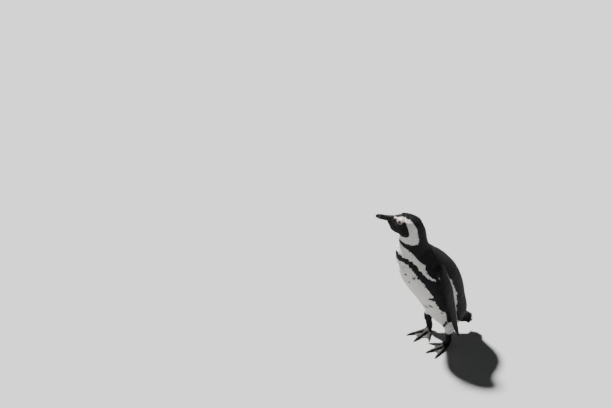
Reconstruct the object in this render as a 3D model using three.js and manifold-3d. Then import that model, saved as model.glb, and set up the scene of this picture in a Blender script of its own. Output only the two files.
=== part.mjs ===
// An adult African penguin standing still, life size, as a set of named solids.
// Units are millimetres, +Z is up and the bird faces -Y, so its left side is +X.
// The floor is z = 0, and the origin lies between the two heels before the last shift.
import * as THREE from "three";
import { mergeVertices } from "three/addons/utils/BufferGeometryUtils.js";
import Module from "manifold-3d";

const wasm = await Module();
wasm.setup();

// ---------------------------------------------------------------- driving sizes
const GAP = 0.3; // clearance left between neighbours that touch
const FAR = 400; // half size of a block that cuts like a half space

const HEAD_PIVOT = [-6, 113, 498.3]; // across, forward, up: where the head turns on the neck
const HEAD_TURN = 26; // degrees, towards the bird's right
const HEAD_LIFT = 9; // degrees, bill up
const EYE = { forward: 20, up: 2.5, side: 17.2, radius: 6.4 }; // from the head's pivot
const MOUTH_GAP = 0.5;

const FOOT_SPREAD = 49; // each heel to the midline
const FOOT_BACK = 6; // the heels' midpoint behind the origin
const FOOT_STAGGER = 11; // right foot ahead of that midpoint, left foot behind it
const TOES_IN = { left: -5, right: 28 }; // degrees each foot is turned towards the other
const SHANK_BACK = { left: 2.4, right: -6 }; // how far each shank leans back as it rises
const ANKLE_HEIGHT = 50;
const SOLE_SINK = 1.2; // how much of each round toe is cut away as its flat sole

const FLIPPER_TIP = [112, -26, 85]; // on the left: across, forward, up
const FLIPPER_CHORD = 28; // half the widest chord
const FLIPPER_THICK = 5.6; // half thickness near the root
const FLIPPER_TURN = 42; // degrees the leading edge stands out from straight ahead

const TAIL_TIP = [0, -114, 51];

const HIP_HEIGHT = 92; // the thighs are their own pieces below this level
const THIGH_BOX = 90; // wide enough to hold one thigh

const SIDEWAYS = new THREE.Vector3(1, 0, 0);
const UPRIGHT = new THREE.Vector3(0, 0, 1);

// ---------------------------------------------------------------- shape tools

// A point given as across, forward, up.
const place = (across, forward, up) => new THREE.Vector3(across, -forward, up);

// Closed body over a row of oval sections. A station is [across, forward, up, wide, fore, aft]:
// its middle, its half width, and how far it reaches to its front and its back.
function loft(
  stations,
  { rings, sides, grow = 0, across = SIDEWAYS, domes = [6, 6], caps = 1 },
) {
  const middle = new THREE.CatmullRomCurve3(stations.map(([x, f, z]) => place(x, f, z)));
  const reach = new THREE.CatmullRomCurve3(
    stations.map(([, , , wide, fore, aft]) => new THREE.Vector3(wide, fore, aft)),
  );
  const rows = [];
  const addRow = (t, scale, push) => {
    const along = middle.getTangent(t);
    const front = new THREE.Vector3().crossVectors(across, along).normalize();
    const side = new THREE.Vector3().crossVectors(front, along).normalize();
    const centre = middle.getPoint(t).addScaledVector(along, push);
    const size = reach.getPoint(t);
    const row = [];
    for (let k = 0; k < sides; k++) {
      const turn = (2 * Math.PI * k) / sides;
      const depth = Math.sin(turn) > 0 ? size.y : size.z;
      row.push(
        centre
          .clone()
          .addScaledVector(side, (size.x + grow) * scale * Math.cos(turn))
          .addScaledVector(front, (depth + grow) * scale * Math.sin(turn)),
      );
    }
    rows.push(row);
  };
  for (let i = 1; i <= caps; i++) {
    const angle = ((Math.PI / 2) * i) / (caps + 1);
    addRow(0, Math.sin(angle), -(domes[0] + grow) * Math.cos(angle));
  }
  for (let i = 0; i <= rings; i++) addRow(i / rings, 1, 0);
  for (let i = caps; i > 0; i--) {
    const angle = ((Math.PI / 2) * i) / (caps + 1);
    addRow(1, Math.sin(angle), (domes[1] + grow) * Math.cos(angle));
  }
  const ends = [
    middle.getPoint(0).addScaledVector(middle.getTangent(0), -(domes[0] + grow)),
    middle.getPoint(1).addScaledVector(middle.getTangent(1), domes[1] + grow),
  ];
  return closeRows(rows, ends);
}

// Joins rows of points, and an end point at each side, into one closed geometry facing out.
function closeRows(rows, [first, last]) {
  const sides = rows[0].length;
  const points = [first, ...rows.flat(), last];
  const index = [];
  const at = (row, k) => 1 + row * sides + (k % sides);
  for (let k = 0; k < sides; k++) {
    index.push(0, at(0, k + 1), at(0, k));
    for (let row = 0; row + 1 < rows.length; row++) {
      index.push(at(row, k), at(row, k + 1), at(row + 1, k));
      index.push(at(row, k + 1), at(row + 1, k + 1), at(row + 1, k));
    }
    index.push(at(rows.length - 1, k), at(rows.length - 1, k + 1), points.length - 1);
  }
  return new THREE.BufferGeometry().setFromPoints(points).setIndex(index);
}

// A geometry as a manifold solid, turned the right way out.
function solid(geometry, matrix = new THREE.Matrix4()) {
  const bare = geometry.clone();
  bare.deleteAttribute("normal");
  bare.deleteAttribute("uv");
  const merged = mergeVertices(bare.applyMatrix4(matrix), 1e-3);
  const triVerts = new Uint32Array(merged.index.array);
  const points = merged.attributes.position;
  const corner = (i) => new THREE.Vector3().fromBufferAttribute(points, triVerts[i]);
  let volume = 0;
  for (let i = 0; i < triVerts.length; i += 3) {
    volume += corner(i).dot(corner(i + 1).cross(corner(i + 2)));
  }
  if (volume < 0) {
    for (let i = 0; i < triVerts.length; i += 3) {
      [triVerts[i], triVerts[i + 1]] = [triVerts[i + 1], triVerts[i]];
    }
  }
  const mesh = new wasm.Mesh({ numProp: 3, vertProperties: points.array, triVerts });
  return new wasm.Manifold(mesh);
}

const union = (solids) => solids.reduce((sum, next) => sum.add(next));

// The half space on the far side of a plane, as one large block.
function halfSpace(point, normal) {
  const turn = new THREE.Quaternion().setFromUnitVectors(
    new THREE.Vector3(0, 0, 1),
    normal.clone().normalize(),
  );
  const block = new THREE.BoxGeometry(2 * FAR, 2 * FAR, FAR).translate(0, 0, FAR / 2);
  return solid(block.applyQuaternion(turn).translate(point.x, point.y, point.z));
}

// Splits a solid at a plane: [the part beyond it, the part before it], a gap apart.
function split(whole, point, normal) {
  const back = point.clone().addScaledVector(normal.clone().normalize(), -GAP);
  return [whole.intersect(halfSpace(point, normal)), whole.subtract(halfSpace(back, normal))];
}

// The largest of the loose pieces that a cut may leave.
function mainPiece(whole) {
  return whole.decompose().reduce((best, next) => (next.volume() > best.volume() ? next : best));
}

function meshOf(name, body, material) {
  const { vertProperties, triVerts, numProp, numVert } = mainPiece(body).getMesh();
  const points = new Float32Array(numVert * 3);
  for (let i = 0; i < numVert; i++) {
    points.set(vertProperties.subarray(i * numProp, i * numProp + 3), i * 3);
  }
  const geometry = new THREE.BufferGeometry()
    .setAttribute("position", new THREE.BufferAttribute(points, 3))
    .setIndex(new THREE.BufferAttribute(triVerts, 1));
  geometry.computeVertexNormals();
  const mesh = new THREE.Mesh(geometry, material);
  mesh.name = name;
  return mesh;
}

// ---------------------------------------------------------------- materials
const finish = (color, roughness) =>
  new THREE.MeshStandardMaterial({ color, roughness, metalness: 0 });
const blackPlumage = finish(0x17171a, 0.75);
const facePlumage = finish(0x1b1b1d, 0.8);
const palePlumage = finish(0xd9d7d2, 0.85);
const billHorn = finish(0x1d1c1b, 0.45);
const footSkin = finish(0x242221, 0.6);
const clawHorn = finish(0x2b2724, 0.4);
const eyeGloss = finish(0x2a1a12, 0.1);

// ---------------------------------------------------------------- trunk, neck and tail

// Breast to rump, from the tail end up to the base of the neck.
const TRUNK = [
  [0, -71, 72, 26, 26, 38],
  [0, -57, 88, 50, 54, 53],
  [0, -39, 119, 65, 64.5, 63],
  [0, -20, 160, 75, 72, 73],
  [0, -3, 203, 79, 77, 83],
  [0, 16, 247, 79, 83, 86],
  [0, 42, 300, 72, 87, 76],
  [0, 65, 343, 57, 80, 59],
  [0, 82, 377, 43, 65, 46],
];

// Neck, from inside the shoulders up into the head.
const NECK = [
  [0, 58, 330, 50, 71, 54],
  [0, 79, 374, 43, 71, 49],
  [0, 87, 411, 37.5, 57, 46],
  [1, 95.5, 446, 34, 40.5, 49],
  [1, 102.5, 472, 31.5, 38, 45],
  [-1, 106, 490, 27, 31, 37],
];

// Stiff tail feathers: a short flat wedge.
const TAIL = [
  [0, -56, 98, 42, 36, 31],
  [0, -78, 80, 36, 24, 26],
  [0, -98, 65, 29, 13, 14],
  [...TAIL_TIP, 17, 6, 6],
];

// Feathered thigh of one leg, down to where the bare shank comes out of it.
const legStations = (side, forward, back) => [
  [side * 40, -10, 152, 26, 38, 38],
  [side * 45, -10 + forward * 0.3 - back * 0.6, 114, 28, 34, 34],
  [side * 48, -9 + forward * 0.7 - back, 86, 23, 24, 26],
  [side * FOOT_SPREAD, -2 + forward - back, 64, 15.5, 15, 17],
  [side * FOOT_SPREAD, forward - back * 0.8, ANKLE_HEIGHT - 2, 12.5, 12, 13.5],
];

const trunkShape = (grow) =>
  loft(TRUNK, { rings: 20, sides: 26, grow, domes: [8, 14], caps: 2 });
const neckShape = (grow) => loft(NECK, { rings: 10, sides: 24, grow, domes: [8, 6] });

// ---------------------------------------------------------------- head and bill

const headFrame = new THREE.Matrix4()
  .makeTranslation(place(...HEAD_PIVOT))
  .multiply(new THREE.Matrix4().makeRotationZ(THREE.MathUtils.degToRad(-HEAD_TURN)))
  .multiply(new THREE.Matrix4().makeRotationX(THREE.MathUtils.degToRad(-HEAD_LIFT)));

// Sections along the head, nape to bill: [forward, crown, throat, half width], where crown
// and throat are heights over the pivot.
const HEAD_PROFILE = [
  [-50, 1, -26, 16.5],
  [-41, 14, -35, 23.5],
  [-22, 23, -43, 29],
  [-2, 25.5, -50, 29.5],
  [14, 23.5, -52.5, 26.5],
  [26, 20.5, -47, 20.5],
  [36, 16.8, -36.5, 15.2],
  [44, 12.5, -27, 10.8],
  [51, 9, -19, 7],
];

// Bill sections, root to hooked tip: [forward, culmen, lower edge, half width].
const BILL_PROFILE = [
  [30, 11, -14, 8.8],
  [42, 11, -14, 8.4],
  [56, 9.2, -13.2, 6.8],
  [70, 8, -12.4, 5.8],
  [81, 9, -12, 5.6],
  [89, 7.4, -10.4, 4.8],
  [94.5, 1.5, -9, 2.8],
];

// Line between the two halves of the bill: [forward, height].
const MOUTH_LINE = [
  [24, -9],
  [40, -5.6],
  [58, -3],
  [74, -2.6],
  [84, -4],
  [88.5, -7],
  [90.5, -14],
];

const sectionRow = ([forward, top, bottom, wide]) => [
  0,
  forward,
  (top + bottom) / 2,
  wide,
  (top - bottom) / 2,
  (top - bottom) / 2,
];

const headShape = () =>
  loft(HEAD_PROFILE.map(sectionRow), { rings: 14, sides: 22, domes: [9, 3] });
const billShape = (grow) =>
  loft(BILL_PROFILE.map(sectionRow), { rings: 10, sides: 14, grow, domes: [2, 1.6] });

// A thin curved wall that follows the mouth line, wide enough to part the bill.
function mouthCut() {
  const line = new THREE.SplineCurve(MOUTH_LINE.map(([f, z]) => new THREE.Vector2(f, z)));
  const steps = 10;
  const middle = Array.from({ length: steps + 1 }, (_, i) => line.getPoint(i / steps));
  const edge = (offset) =>
    middle.map((p, i) => {
      const along = line.getTangent(i / steps);
      return new THREE.Vector2(p.x - along.y * offset, p.y + along.x * offset);
    });
  const outline = [...edge(MOUTH_GAP / 2), ...edge(-MOUTH_GAP / 2).reverse()];
  const wall = new THREE.ExtrudeGeometry(new THREE.Shape(outline), {
    depth: 60,
    bevelEnabled: false,
  });
  // The outline is drawn in (forward, up) and swept sideways.
  const turn = new THREE.Matrix4().makeBasis(
    new THREE.Vector3(0, -1, 0),
    new THREE.Vector3(0, 0, 1),
    new THREE.Vector3(-1, 0, 0),
  );
  return wall.applyMatrix4(turn).translate(30, 0, 0);
}

const eyeCentre = (side) => place(side * EYE.side, EYE.forward, EYE.up);
const eyeShape = (side, grow) =>
  new THREE.SphereGeometry(EYE.radius + grow, 12, 8).translate(...eyeCentre(side).toArray());

// ---------------------------------------------------------------- flippers

// Flipper of the left side, shoulder to tip: [across, forward, up, share of chord, share of
// thickness].
const FLIPPER = [
  [58, 14, 326, 0.6, 1.5],
  [76, 14, 298, 0.85, 1.35],
  [92, 4, 260, 1.02, 1.1],
  [98, -1, 223, 0.98, 0.9],
  [103, -7, 182, 0.83, 0.75],
  [107, -13, 140, 0.64, 0.62],
  [110, -20, 106, 0.42, 0.5],
  [...FLIPPER_TIP, 0.15, 0.36],
];

function flipperShape(side, grow) {
  const stations = FLIPPER.map(([x, f, z, chord, thick]) => [
    side * x,
    f,
    z,
    FLIPPER_CHORD * chord,
    FLIPPER_THICK * thick,
    FLIPPER_THICK * thick,
  ]);
  const turn = THREE.MathUtils.degToRad(FLIPPER_TURN);
  const chordLine = place(side * Math.sin(turn), Math.cos(turn), 0);
  return loft(stations, { rings: 13, sides: 10, grow, across: chordLine, domes: [6, 4] });
}

// ---------------------------------------------------------------- feet

// Toes of the left foot, inner to outer: where the tip is from the heel, across and forward.
const TOES = [
  { name: "inner", tip: [-30, 41], knuckle: 6 },
  { name: "middle", tip: [1, 69], knuckle: 6.8 },
  { name: "outer", tip: [34, 59], knuckle: 6.2 },
];
const HALLUX = { name: "hind", tip: [-16, 14], height: 10 };
const WEB_THICK = 1.8;
const CLAW_LENGTH = 13;

// Places a point of a foot: side mirrors it, and the foot turns about its heel.
function footPlacer(side, forward, turnIn) {
  const turn = THREE.MathUtils.degToRad(turnIn);
  return ([across, ahead, up]) => {
    const x = across * Math.cos(turn) - ahead * Math.sin(turn);
    const f = across * Math.sin(turn) + ahead * Math.cos(turn);
    return [side * (FOOT_SPREAD + x), forward + f, up];
  };
}

function toeShape(toe, put) {
  const [x, f] = toe.tip;
  const k = toe.knuckle;
  // Share of the toe, height of its middle, half width, half height.
  const sections = [
    [0.1, 9, k * 1.05, k * 1.1],
    [0.3, 6.4, k * 0.98, k * 0.95],
    [0.46, 5, k * 0.84, k * 0.8],
    [0.58, 4.6, k * 0.92, k * 0.84],
    [0.72, 3.8, k * 0.76, k * 0.7],
    [0.83, 3.9, k * 0.84, k * 0.76],
    [1, 3.4, k * 0.6, k * 0.6],
  ];
  const stations = sections.map(([t, up, wide, tall]) => [
    ...put([x * t, f * t, up]),
    wide,
    tall,
    tall,
  ]);
  const [startX, startF] = put([0, 0, 0]);
  const [endX, endF] = put([x, f, 0]);
  const across = place(-(endF - startF), endX - startX, 0).normalize();
  return loft(stations, { rings: 6, sides: 6, across, domes: [3, 2] });
}

// Skin between two toes, scalloped at its front edge.
function webShape(a, b, put) {
  const reach = 0.86;
  const scallop = 0.7;
  const [ax, af] = put([a.tip[0] * reach, a.tip[1] * reach, 0]);
  const [bx, bf] = put([b.tip[0] * reach, b.tip[1] * reach, 0]);
  const mid = [(a.tip[0] + b.tip[0]) / 2, (a.tip[1] + b.tip[1]) / 2];
  const [mx, mf] = put([mid[0] * scallop, mid[1] * scallop, 0]);
  const [hx, hf] = put([0, 4, 0]);
  const outline = new THREE.Shape();
  outline.moveTo(hx, -hf);
  outline.lineTo(ax, -af);
  outline.quadraticCurveTo(mx, -mf, bx, -bf);
  outline.closePath();
  const web = new THREE.ExtrudeGeometry(outline, {
    depth: WEB_THICK,
    bevelEnabled: false,
    curveSegments: 4,
  });
  return web.translate(0, 0, 1.6);
}

// Bare shank, from inside the thigh's feathers down to the roots of the toes.
function tarsusShape(put, back) {
  const stations = [
    [...put([0, -back * 0.9, ANKLE_HEIGHT + 6]), 10, 9.5, 10.5],
    [...put([0, -back * 0.6, 36]), 10.2, 9.5, 10.8],
    [...put([0, 0, 20]), 10.8, 10.2, 9.5],
    [...put([0, 8, 11]), 11.5, 9.5, 8.5],
    [...put([0, 17, 7]), 12.5, 6.5, 7.5],
  ];
  return loft(stations, { rings: 5, sides: 9, domes: [3, 6] });
}

function halluxShape(put) {
  const [x, f] = HALLUX.tip;
  const stations = [
    [...put([-7, 4, HALLUX.height + 1]), 3.6, 3.6, 3.6],
    [...put([x * 0.8, f * 0.7, HALLUX.height - 1]), 3.2, 3.2, 3.2],
    [...put([x, f, HALLUX.height - 3.5]), 2.3, 2.3, 2.3],
  ];
  return loft(stations, { rings: 2, sides: 5, domes: [2, 1] });
}

// A claw curving down from the end of a toe.
function clawShape(from, heading, put, length, thick) {
  const [x, f, up] = from;
  const [dx, df] = heading;
  const stations = [
    // Share of the length past the toe, rise, share of half width, share of half height.
    [-0.26, 0, 1, 1],
    [0.35, 0.7, 0.85, 1],
    [0.7, -0.2, 0.55, 0.7],
    [1, -2.1, 0.22, 0.25],
  ].map(([t, rise, wide, tall]) => [
    ...put([x + dx * length * t, f + df * length * t, up + rise]),
    thick * wide,
    thick * tall,
    thick * tall,
  ]);
  const [sx, sf] = put([0, 0, 0]);
  const [ex, ef] = put([dx, df, 0]);
  const across = place(-(ef - sf), ex - sx, 0).normalize();
  return loft(stations, { rings: 3, sides: 5, across, domes: [1, 0.5] });
}

// One foot: its bare skin, and the claws that stand in it.
function buildFoot({ side, forward, turnIn, back }) {
  const put = footPlacer(side, forward, turnIn);
  const floor = halfSpace(new THREE.Vector3(0, 0, SOLE_SINK), UPRIGHT);
  const [inner, middle, outer] = TOES;
  const skin = union([
    solid(tarsusShape(put, back)),
    ...TOES.map((toe) => solid(toeShape(toe, put))),
    solid(webShape(inner, middle, put)),
    solid(webShape(middle, outer, put)),
    solid(halluxShape(put)),
  ]).intersect(floor);
  const claws = TOES.map((toe) => {
    const size = Math.hypot(...toe.tip);
    const heading = [toe.tip[0] / size, toe.tip[1] / size];
    const make = (grow) =>
      clawShape([...toe.tip, 4], heading, put, CLAW_LENGTH + grow, toe.knuckle * 0.5 + grow);
    return { name: toe.name, claw: solid(make(0)).intersect(floor), room: solid(make(GAP)) };
  });
  const hind = (grow) => {
    const size = Math.hypot(...HALLUX.tip);
    const heading = [HALLUX.tip[0] / size, HALLUX.tip[1] / size];
    const from = [...HALLUX.tip, HALLUX.height - 3.5];
    return clawShape(from, heading, put, 6.5 + grow, 1.8 + grow);
  };
  claws.push({ name: HALLUX.name, claw: solid(hind(0)), room: solid(hind(GAP)) });
  const bare = claws.reduce((rest, { room }) => rest.subtract(room), skin);
  const lower = (body) => body.translate([0, 0, -SOLE_SINK]);
  return {
    skin: lower(bare),
    claws: claws.map(({ name, claw }) => ({ name, claw: lower(claw) })),
  };
}

// ---------------------------------------------------------------- assembly

const penguin = new THREE.Group();
const sides = ["left", "right"].map((word) => {
  const side = word === "left" ? 1 : -1;
  const forward = -FOOT_BACK - side * FOOT_STAGGER;
  return { word, side, forward, turnIn: TOES_IN[word], back: SHANK_BACK[word] };
});

const legShape = ({ side, forward, back }, grow) =>
  loft(legStations(side, forward, back), { rings: 8, sides: 14, grow, domes: [12, 3] });
const legs = sides.map((leg) => solid(legShape(leg, 0)));
const flesh = union([
  solid(trunkShape(0)),
  solid(neckShape(0)),
  solid(headShape(), headFrame),
  solid(loft(TAIL, { rings: 5, sides: 14, domes: [8, 2.5] })),
  ...legs,
]);

// Head off the neck, neck off the trunk, tail off the rump.
const neckLine = place(-0.1, 0.28, 1);
const shoulderLine = place(0, 0.42, 1);
const tailLine = place(0, -1, -0.85);
const [headBlock, belowHead] = split(flesh, place(0, 99, 462), neckLine);
const [neckBlock, belowNeck] = split(belowHead, place(0, 76, 368), shoulderLine);
const [tailBlock, trunkAndLegs] = split(belowNeck, place(0, -72, 70), tailLine);

const bill = solid(billShape(0), headFrame);
const billRoom = solid(billShape(GAP), headFrame);
const mouth = solid(mouthCut(), headFrame);
const [billA, billB] = bill
  .subtract(mouth)
  .decompose()
  .sort((a, b) => b.boundingBox().max[2] - a.boundingBox().max[2]);

let head = headBlock.subtract(billRoom);
for (const { word, side } of sides) {
  head = head.subtract(solid(eyeShape(side, GAP), headFrame));
  penguin.add(meshOf(`eye_${word}`, solid(eyeShape(side, 0), headFrame), eyeGloss));
}
penguin.add(meshOf("head", head, facePlumage));
penguin.add(meshOf("bill_upper", billA, billHorn));
penguin.add(meshOf("bill_lower", billB, billHorn));
penguin.add(meshOf("neck", neckBlock, palePlumage));
penguin.add(meshOf("tail", tailBlock, blackPlumage));

// Legs come off the trunk at thigh height, and feet off the legs at the ankle.
const trunkBody = solid(trunkShape(0));
const trunkRoom = solid(trunkShape(GAP));
let trunk = trunkAndLegs;
sides.forEach((foot, i) => {
  const { word, side, forward, back } = foot;
  const belowHip = (top) =>
    solid(
      new THREE.BoxGeometry(THIGH_BOX, 2 * THIGH_BOX, top).translate(
        side * (THIGH_BOX / 2 + 2),
        0,
        top / 2,
      ),
    );
  const ankle = place(side * FOOT_SPREAD, forward - back, ANKLE_HEIGHT);
  const thigh = legs[i].intersect(belowHip(HIP_HEIGHT - GAP)).subtract(trunkRoom);
  const [leg] = split(thigh, ankle, UPRIGHT);
  const { skin, claws } = buildFoot(foot);
  const [, bareFoot] = split(skin, ankle, UPRIGHT);
  penguin.add(meshOf(`leg_${word}`, leg, palePlumage));
  penguin.add(meshOf(`foot_${word}`, bareFoot, footSkin));
  claws.forEach(({ name, claw }) => {
    penguin.add(meshOf(`claw_${word}_${name}`, claw, clawHorn));
  });
  const legRoom = solid(legShape(foot, GAP)).intersect(belowHip(HIP_HEIGHT));
  trunk = trunk.subtract(legRoom.subtract(trunkBody));
  const flipper = solid(flipperShape(side, 0)).subtract(trunkRoom);
  penguin.add(meshOf(`flipper_${word}`, flipper, blackPlumage));
});
penguin.add(meshOf("trunk", trunk, blackPlumage));

// The frame's origin is the middle of the whole bird's box, on the floor.
const box = new THREE.Box3().setFromObject(penguin);
const middle = box.getCenter(new THREE.Vector3());
penguin.position.set(-middle.x, -middle.y, -box.min.z);

export default penguin;
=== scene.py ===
# %% [markdown]
# # A penguin in its feathers
# A penguin is a smooth, heavy body in a very dense coat. The measured solids already give its
# outline and its stance, so this lesson dresses them: one skin, tens of thousands of small
# solid feathers that lie along it, and then the bare parts, which are bill, eyes, feet and claws.
# The solids are loaded first and never changed, because every new piece is fitted to them.

# %% Load the measured solids
import math
import bpy
import numpy as np
from mathutils import Matrix, Vector
from mathutils.bvhtree import BVHTree
from mathutils.kdtree import KDTree


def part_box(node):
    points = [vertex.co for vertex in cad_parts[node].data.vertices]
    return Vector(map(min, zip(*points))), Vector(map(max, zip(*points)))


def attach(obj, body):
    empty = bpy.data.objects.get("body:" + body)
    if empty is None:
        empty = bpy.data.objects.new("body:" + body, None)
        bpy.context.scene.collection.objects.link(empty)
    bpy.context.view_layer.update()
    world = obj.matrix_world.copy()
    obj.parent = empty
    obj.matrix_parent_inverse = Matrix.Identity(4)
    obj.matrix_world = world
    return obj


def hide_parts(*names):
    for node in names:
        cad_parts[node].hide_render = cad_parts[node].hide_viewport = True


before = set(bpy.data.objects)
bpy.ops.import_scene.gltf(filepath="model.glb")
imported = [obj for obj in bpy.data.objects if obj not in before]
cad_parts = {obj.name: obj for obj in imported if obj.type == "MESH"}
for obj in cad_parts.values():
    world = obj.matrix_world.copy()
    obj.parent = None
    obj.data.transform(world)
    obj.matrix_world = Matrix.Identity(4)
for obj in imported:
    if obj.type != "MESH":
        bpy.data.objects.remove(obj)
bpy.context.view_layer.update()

dice = np.random.default_rng(11)
SIDES = (("left", 1), ("right", -1))

# %% [markdown]
# ## Two rulers
# Markings on an animal are easiest to place in its own terms. The head is turned and lifted, so
# it gets a ruler of its own: side, ahead and up from the point where it turns on the neck. The
# body gets a second one: the angle round it from the middle of the breast, and the height over
# the floor. The head's is found from the measured eyes, so both follow if the solids move.

# %% The head's ruler and the body's ruler
HEAD_TURN = math.radians(26)
HEAD_LIFT = math.radians(9)
EYE_AHEAD = 0.020
EYE_UP = 0.0025
PIVOT_AHEAD = 0.113

head_turn = Matrix.Rotation(-HEAD_TURN, 3, "Z") @ Matrix.Rotation(-HEAD_LIFT, 3, "X")
eye_spots = {}
for word, _ in SIDES:
    low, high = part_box(f"eye_{word}")
    eye_spots[word] = (low + high) / 2
eye_middle = (eye_spots["left"] + eye_spots["right"]) / 2
pivot = eye_middle - head_turn @ Vector((0, -EYE_AHEAD, EYE_UP))
ahead_zero = pivot.y + PIVOT_AHEAD

# Height over the floor, and how far ahead the middle of the body is there.
BODY_HEIGHTS = [0.040, 0.066, 0.086, 0.119, 0.160, 0.203, 0.247, 0.300, 0.343, 0.377, 0.411,
                0.446, 0.478, 0.500]
BODY_AHEAD = [-0.078, -0.070, -0.057, -0.040, -0.021, -0.004, 0.015, 0.040, 0.058, 0.074, 0.084,
              0.090, 0.098, 0.104]


def head_ruler(points):
    """Side, ahead and up from the head's pivot."""
    local = (points - np.array(pivot)) @ np.array(head_turn)
    return local[:, 0], -local[:, 1], local[:, 2]


def body_ruler(points):
    """Degrees round the body from the breast's middle, plus to its left, and height."""
    ahead = ahead_zero - points[:, 1]
    from_axis = ahead - np.interp(points[:, 2], BODY_HEIGHTS, BODY_AHEAD)
    return np.degrees(np.arctan2(points[:, 0], from_axis)), points[:, 2]


def from_head(side, ahead, up):
    """A place in the scene from the head's ruler."""
    return pivot + head_turn @ Vector((side, -ahead, up))


print("head turns at", [round(v, 4) for v in pivot])

# %% [markdown]
# ## Handwork in a few lines
# Most steps here are the same moves that are made by hand: pick one object, put a modifier on
# it and apply it. The helpers below do just that. Operators act on whatever is selected, so
# each helper first clears the selection and then picks its own object.

# %% Helpers for picking, copying and finishing
def select_nothing():
    """Clears the selection before an operator adds or changes something."""
    bpy.ops.object.select_all(action="DESELECT")


def named(name):
    """The object that was just added, under its own name."""
    bpy.context.object.name = name
    return bpy.context.object


def mode(word):
    """Opens or leaves edit mode."""
    bpy.ops.object.mode_set(mode=word)


def work_on(*things):
    """Selects these objects and nothing else. The last one becomes active."""
    select_nothing()
    for thing in things:
        thing.select_set(True)
    bpy.context.view_layer.objects.active = things[-1]


def finish_with(thing, kind, **settings):
    """Adds one modifier, sets it and applies it."""
    work_on(thing)
    modifier = thing.modifiers.new(kind.lower(), kind)
    for setting, value in settings.items():
        setattr(modifier, setting, value)
    bpy.ops.object.modifier_apply(modifier=modifier.name)


def link_new(name, mesh):
    """A new object for a mesh, put into the scene."""
    made = bpy.data.objects.new(name, mesh)
    bpy.context.scene.collection.objects.link(made)
    return made


def copy_solids(name, *nodes):
    """Merged copies of measured solids, joined into one new object."""
    copies = [link_new(name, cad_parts[node].data.copy()) for node in nodes]
    for copied in copies:
        copied.data.materials.clear()
    work_on(*copies)
    if len(copies) > 1:
        bpy.ops.object.join()
    bpy.ops.mesh.customdata_custom_splitnormals_clear()
    mode("EDIT")
    bpy.ops.mesh.select_all(action="SELECT")
    bpy.ops.mesh.remove_doubles(threshold=1e-6)
    mode("OBJECT")
    return named(name)


print("ready to work on", len(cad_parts), "solids")

# %% [markdown]
# ## The camera
# The bird is seen from its left and a little in front, from above, with a long lens: lines
# stay nearly parallel. The camera is placed by the middle point between the heels, which is
# the one spot that is certain to be on the floor. The frame is 612 by 408 dots, and one dot
# at the bird is 3.22 mm.

# %% Place the camera
def towards(round_deg, up_deg):
    """The direction to a place round the bird and above it, in degrees."""
    turn = math.radians(round_deg)
    rise = math.radians(up_deg)
    return Vector((math.sin(turn) * math.cos(rise), -math.cos(turn) * math.cos(rise),
                   math.sin(rise)))


def look_from(thing, direction):
    """Turns a camera or lamp so that it looks back along a direction."""
    thing.rotation_mode = "QUATERNION"
    thing.rotation_quaternion = direction.to_track_quat("Z", "Y")


DOT = 0.00322
FRAME_WIDE = 612
FRAME_HIGH = 408
HEEL_DOT = (437, 338.5)
VIEW_ROUND = 68
VIEW_DOWN = 36
LENS = 300
SENSOR = 36

to_right = towards(VIEW_ROUND + 90, 0)
to_camera = towards(VIEW_ROUND, VIEW_DOWN)
to_top = to_camera.cross(to_right)
aim = Vector((0, ahead_zero, 0)) + to_right * (FRAME_WIDE / 2 - HEEL_DOT[0]) * DOT
aim = aim + to_top * (HEEL_DOT[1] - FRAME_HIGH / 2) * DOT
distance = LENS / SENSOR * FRAME_WIDE * DOT

select_nothing()
bpy.ops.object.camera_add(location=aim + to_camera * distance)
camera = named("camera")
look_from(camera, to_camera)
camera.data.lens = LENS
camera.data.sensor_width = SENSOR
camera.data.clip_end = 200
bpy.context.scene.camera = camera
print("camera is", round(distance, 2), "m away")

# %% [markdown]
# ## Whose markings are these?
# An African penguin is black above and white below, with a black band that bends over the
# breast like a horseshoe and runs down both flanks, a thin dark collar, and a black mask that a
# white stripe rings from the bill over the eye to the throat. The collar is partly black
# feathers and partly painted shade of the crease between the cheeks and the breast. A painted
# image would do, but it would have to be stretched over every feather. Here each marking is an
# outline on the head's or the body's ruler, in millimetres or degrees, and one function answers
# how white any spot is.
# Skin and feathers both ask it, so they always agree.

# %% Outlines of the head's markings, ahead and up from the pivot, in mm
MASK = [(62, 12), (47, 6.5), (42, 6), (38, 7.4), (33, 8.8), (28.5, 8.4), (27, 5), (20, 3),
        (13, 4), (8, 8), (3, 12), (-4, 3.6), (-11, -9), (-16, -19), (-18.5, -28), (-18.5, -37.5),
        (-12, -43.5), (-4, -45), (10, -48), (30, -60), (62, -40)]
FACE_WHITE = [(47, 7.5), (45, 10), (41, 13.5), (30.4, 17.5), (17.8, 21), (2, 23), (-10.8, 21.1),
              (-24.5, 9), (-38.5, -7.7), (-46, -32.4), (-53, -56), (-49, -77.5), (-30, -110),
              (60, -140), (90, -60)]
CROWN_HALF = [(-60, 30), (-30, 22), (-10, 17.5), (8, 13), (20, 9.5), (30, 6.5), (42, 3.5)]
BARE_GLAND = [(31, 7.4), (27.5, 9.2), (20.2, 10.6), (11.6, 10.8), (8.4, 7.6), (10.5, 0.5),
              (14, -3.6), (19, -5.4), (24.5, -4.8), (28.5, -0.5)]

print("head outlines:", len(MASK) + len(FACE_WHITE) + len(BARE_GLAND), "marks")
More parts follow.
